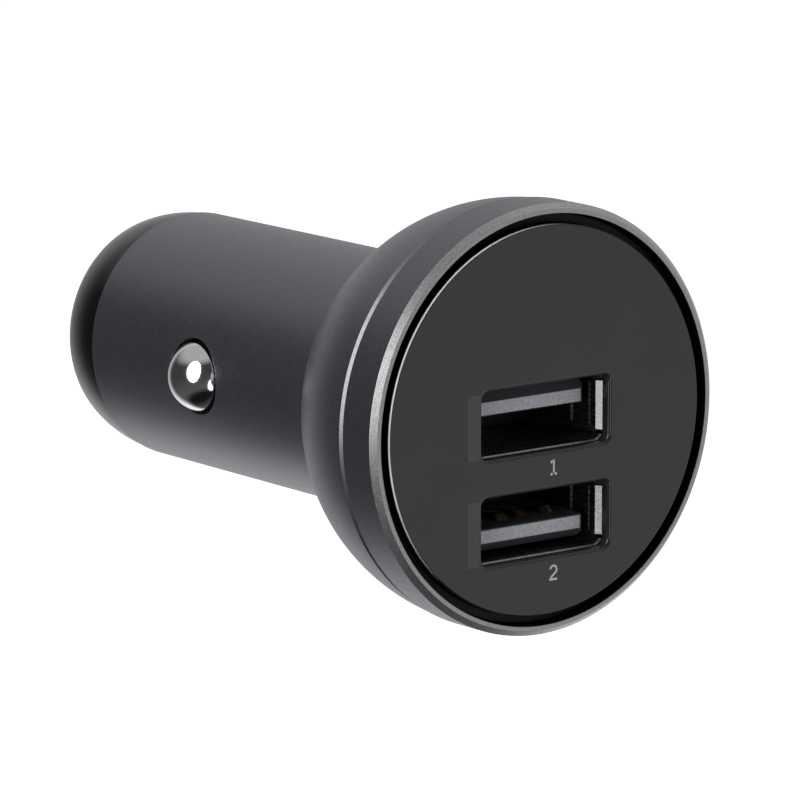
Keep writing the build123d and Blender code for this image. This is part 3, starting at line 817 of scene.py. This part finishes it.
def filled_between(rings, hole_half, station, facing):
    """Flat face at a station, filled between an outer ring of points and the rings of its holes."""
    rings = [ring[:-1, [0, 2]] for ring in rings]
    starts = np.cumsum([0] + [len(ring) for ring in rings])
    edges = [
        np.stack([np.arange(len(ring)), np.roll(np.arange(len(ring)), -1)], 1) + start
        for ring, start in zip(rings, starts)
    ]
    points = [Vector(point) for point in np.vstack(rings)]
    found, _, faces, *_ = delaunay_2d_cdt(points, np.vstack(edges).tolist(), [], 0, 1e-7)
    found, faces = np.array(found), np.array(faces)
    middle = found[faces].mean(1)
    to_port = np.abs(middle[:, None] - np.array([(0, port) for port in port_middles]))
    faces = faces[~(to_port < hole_half).all(2).any(1)]
    places = np.stack([found[:, 0], np.full(len(found), station), found[:, 1]], -1)
    return places, faces, np.broadcast_to(np.array([0.0, facing, 0.0]), (*faces.shape, 3))


rim_corners = [
    (panel_flat_r, panel_front, 0),
    (panel_r, panel_front, panel_edge),
    (panel_r, panel_back - panel_flange, edge_break),
    (panel_high[0], panel_back - panel_flange, edge_break),
    (panel_high[0], panel_back, edge_break),
    (panel_r, panel_back, 0),
]
all_round = np.linspace(0, tau, around + 1)
front_rings = [round_axis(np.array(panel_flat_r), panel_front, all_round)]
front_rings += [lead_in_ring(middle, 0)[0] for middle in port_middles]
back_rings = [round_axis(np.array(panel_r), panel_back, all_round)]
back_rings += [opening_ring(middle, pocket_half, opening_corner, panel_back)[0] for middle in port_middles]
panel_sheets = [turned(rim_corners, False)]
panel_sheets += [sheet for middle in port_middles for sheet in opening_wall(middle)]
panel_sheets += [
    filled_between(front_rings, opening_half + opening_lead_in, panel_front, -1),
    filled_between(back_rings, pocket_half, panel_back, 1),
]
panel = put_in("panel", panel_sheets, smoked_panel, "plug", "face_panel")
radius, station, angle = face_middles(panel)
# The panel's side wall in the groove gets the near-black painted shade
panel.data.materials.append(groove_painted_shade)
panel.data.materials.append(opening_black)
in_groove = (radius > panel_r - wall_margin) & (station > panel_front + panel_edge)
in_opening = (radius < panel_flat_r) & (station > panel_front + face_margin)
panel.data.polygons.foreach_set("material_index", np.where(in_opening, 2, in_groove).astype(np.int32))
# Painted highlight: the share "clear" paints the edge pale on the side towards the light and fades out round the
# rim
on_edge = (radius > panel_r - panel_edge / 2) & (station < panel_front + panel_edge)
mark(panel, "clear", on_edge * np.clip((np.cos(angle - edge_highlight_middle) - edge_highlight_start) / edge_highlight_fade, 0, 1))


# Numerals printed under the ports


def stroke(path, width):
    """Flat ribbon of ink along a path of (x, z) points about the numerals' column, half its width to each side."""
    path = np.asarray(path, float) + [numeral_aside, 0]
    run = np.gradient(path, axis=0)
    run /= np.linalg.norm(run, axis=1, keepdims=True)
    aside = np.stack([-run[:, 1], run[:, 0]], 1) * width / 2
    edges = np.array([path - aside, path + aside])
    station = np.full(edges.shape[:2], panel_front - ink_thickness)
    places = np.stack([edges[..., 0], station, edges[..., 1]], -1)
    return sheet_of(places, np.broadcast_to(np.array([0.0, -1.0, 0.0]), places.shape))


def numeral_one(middle):
    """Upright with a short flag at its top left and a foot under it."""
    low, high, lean = middle - numeral_height / 2, middle + numeral_height / 2, numeral_half_width
    foot = low + numeral_stroke / 2
    return [
        stroke([(0, low), (0, high)], numeral_stroke),
        stroke([(-lean, high - flag_fall * lean), (0, high - flag_overlap * numeral_stroke)], numeral_stroke),
        stroke([(-lean, foot), (lean, foot)], numeral_stroke),
    ]


def numeral_two(middle):
    """Round top over a slanted line to the foot: an arc from the left shoulder, then straight to the base line."""
    low, bowl = middle - numeral_height / 2, numeral_half_width
    top = middle + numeral_height / 2 - numeral_stroke / 2 - bowl
    angle = np.radians(np.linspace(bowl_start, bowl_end, bowl_points))
    arc = np.stack([bowl * np.cos(angle), top + bowl * np.sin(angle)], 1)
    foot = low + numeral_stroke / 2
    return [
        stroke(np.vstack([arc, [(-bowl, low + numeral_stroke)]]), numeral_stroke),
        stroke([(-bowl - numeral_stroke / 2, foot), (foot_reach * bowl, foot)], numeral_stroke),
    ]


for name, shape, middle in zip(("one", "two"), (numeral_one, numeral_two), port_middles):
    place = middle - opening_half[1] - numeral_drop
    put_in(f"numeral_{name}", shape(place), pale_ink, "plug")


# Strips of painted sheen on the face beside the openings: a raised gloss that stands in for their left walls
# showing through the clear face


def painted_sheen_strip_beside(middle):
    """Flat strip on the face, as high as an opening's straight side, up to where the opening's edge rolls in."""
    right = -opening_half[0] - opening_lead_in
    x, z = np.meshgrid([right - strip_width, right], [middle - strip_height / 2, middle + strip_height / 2])
    places = np.stack([x, np.full_like(x, panel_front - strip_thickness), z], -1)
    return sheet_of(places, np.broadcast_to(np.array([0.0, -1.0, 0.0]), places.shape))


strips = [painted_sheen_strip_beside(middle) for middle in port_middles]
put_in("painted_sheen_strips", strips, painted_sheen_strip, "plug")

# Camera, at the photograph's view
camera_data = bpy.data.cameras.new("camera")
camera_data.lens = 281.107
camera_data.sensor_width = 36.0
camera_data.clip_start = 0.01
camera_data.clip_end = 20.0
camera = bpy.data.objects.new("camera", camera_data)
camera.location = (-0.30095, -0.38482, 0.09532)
camera.rotation_euler = (radians(78.846), 0.0, radians(-37.922))
bpy.context.scene.collection.objects.link(camera)
bpy.context.scene.camera = camera


# Studio: softboxes round the plug, a white backdrop and a pale floor
floor_drop = 0.03
floor_half_width = 0.6
floor_lift = 0.7


def softbox(name, azimuth, elevation, distance, width, height, radiance):
    """Area lamp that looks at the plug from a direction: azimuth 0 is in front of the face, 90 on its right.

    The power of the ellipse is its radiance times its area times half a turn in radians.
    """
    a, e = radians(azimuth), radians(elevation)
    away = Vector((sin(a) * cos(e), -cos(a) * cos(e), sin(e)))
    lamp = bpy.data.lights.new(name, "AREA")
    lamp.shape = "ELLIPSE"
    lamp.size, lamp.size_y = width, height
    lamp.energy = radiance * width * height * tau**2 / 16
    lamp_object = bpy.data.objects.new(name, lamp)
    lamp_object.location = away * distance
    lamp_object.rotation_euler = away.to_track_quat("Z", "Y").to_euler()
    bpy.context.scene.collection.objects.link(lamp_object)


softbox("left_softbox", -72, 20, 0.6, 0.48, 0.76, 3.3)
softbox("front_card", -12, -20, 0.5, 0.22, 0.34, 1.8)


def sees_white(tree):
    """1 for rays from the camera and through clear pieces, which see a white background, and 0 for others."""
    rays = tree.nodes.new("ShaderNodeLightPath")
    return combined(tree, "MAXIMUM", rays.outputs["Is Camera Ray"], rays.outputs["Is Transmission Ray"])


def studio_world():
    """Bright on the right and behind, dark on the left and straight below, with a grey ceiling.

    Reflections and diffuse light see these levels. The camera sees plain white.
    """
    world = bpy.data.worlds.new("studio")
    bpy.context.scene.world = world
    world.use_nodes = True
    tree = world.node_tree
    tree.nodes.clear()
    place = tree.nodes.new("ShaderNodeTexCoord")
    turn = tree.nodes.new("ShaderNodeMapping")
    turn.inputs["Rotation"].default_value = (radians(14), 0.0, radians(-12))
    axes = tree.nodes.new("ShaderNodeSeparateXYZ")
    tree.links.new(place.outputs["Generated"], turn.inputs["Vector"])
    tree.links.new(turn.outputs["Vector"], axes.inputs["Vector"])
    backdrop = spread(tree, axes.outputs["X"], 0.072, 0.8, -0.22, 0.36, True)
    above = spread(tree, axes.outputs["Z"], 1.4, 0.7, -0.65, 0.1, True)
    below = spread(tree, axes.outputs["Z"], 0.08, 1.0, -0.85, -0.6, True)
    ceiling = spread(tree, axes.outputs["Z"], 0.0, 0.464, 0.42, 0.85, True)
    wall = combined(tree, "MULTIPLY", combined(tree, "MULTIPLY", backdrop, above), below)
    level = combined(tree, "MAXIMUM", wall, ceiling)
    light = tree.nodes.new("ShaderNodeBackground")
    light.inputs["Color"].default_value = (1, 1, 1, 1)
    tree.links.new(combined(tree, "MAXIMUM", level, sees_white(tree)), light.inputs["Strength"])
    output = tree.nodes.new("ShaderNodeOutputWorld")
    tree.links.new(light.outputs["Background"], output.inputs["Surface"])


def pale_floor(drop, half_width):
    """Plain pale floor under the plug, lifted to white for the camera, that keeps the plug's soft shadow."""
    mesh = bpy.data.meshes.new("floor")
    corners = np.array([(-1, -1, 0), (1, -1, 0), (1, 1, 0), (-1, 1, 0)]) * half_width - [0, 0, drop]
    mesh.from_pydata(corners.tolist(), [], [(0, 1, 2, 3)])
    floor = bpy.data.objects.new("floor", mesh)
    bpy.context.scene.collection.objects.link(floor)
    material, tree, shader = finish("pale_floor", Roughness=0.9)
    tree.links.new(ramp(tree, speckle(tree, 40.0), grey(0.86), grey(0.88)), shader.inputs["Base Color"])
    lift = spread(tree, sees_white(tree), 0.0, floor_lift, 0.0, 1.0)
    tree.links.new(lift, shader.inputs["Emission Strength"])
    shader.inputs["Emission Color"].default_value = (1, 1, 1, 1)
    mesh.materials.append(material)
    floor.visible_glossy = False
    floor.visible_diffuse = False
    floor.visible_shadow = False


studio_world()
pale_floor(floor_drop, floor_half_width)
bpy.context.scene.view_settings.view_transform = "Standard"
